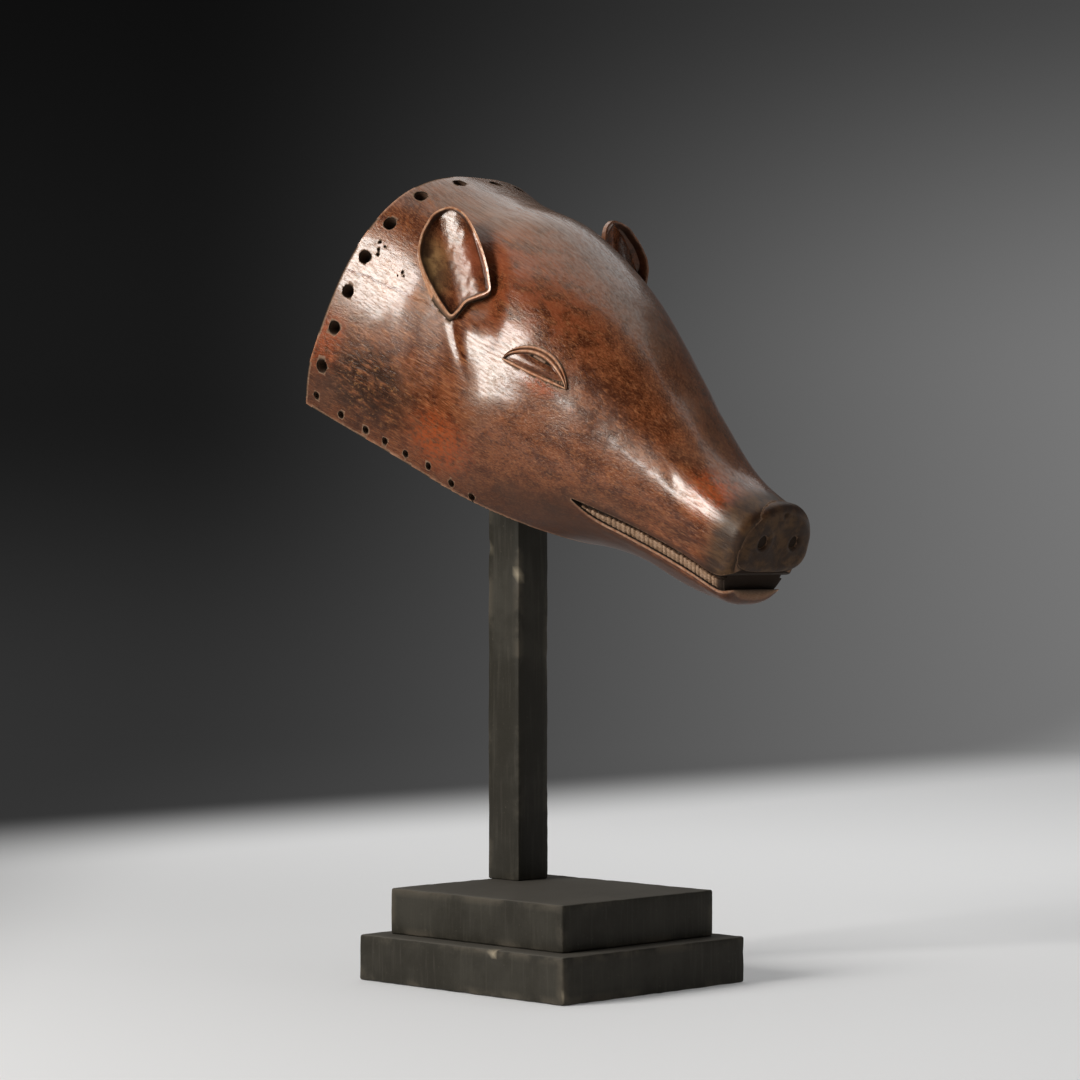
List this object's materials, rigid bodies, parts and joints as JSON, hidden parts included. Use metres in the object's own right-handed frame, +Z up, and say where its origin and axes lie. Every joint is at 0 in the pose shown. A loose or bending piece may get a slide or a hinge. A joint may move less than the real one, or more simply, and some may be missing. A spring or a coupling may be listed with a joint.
{
  "type": "pig head mask",
  "caption": "Hollow carved wooden mask in the shape of a pig's head, with lacing holes round its rims, held nose-down on a square post and a stepped block base.",
  "frame": {"origin": "middle of the underside of the base's lower block", "axes": "+X the way the mask faces, along the base's long side, +Y the mask's left, +Z up"},
  "size_m": [0.337, 0.2147, 0.5128],
  "materials": {
    "carved_wood": "polished reddish brown wood with a worn, glossy patina",
    "black_painted_wood": "matte black-brown paint with brush streaks and small chips"
  },
  "bodies": {
    "root": {"mask": "carved_wood", "post": "black_painted_wood", "upper_block": "black_painted_wood", "lower_block": "black_painted_wood"}
  },
  "joints": []
}
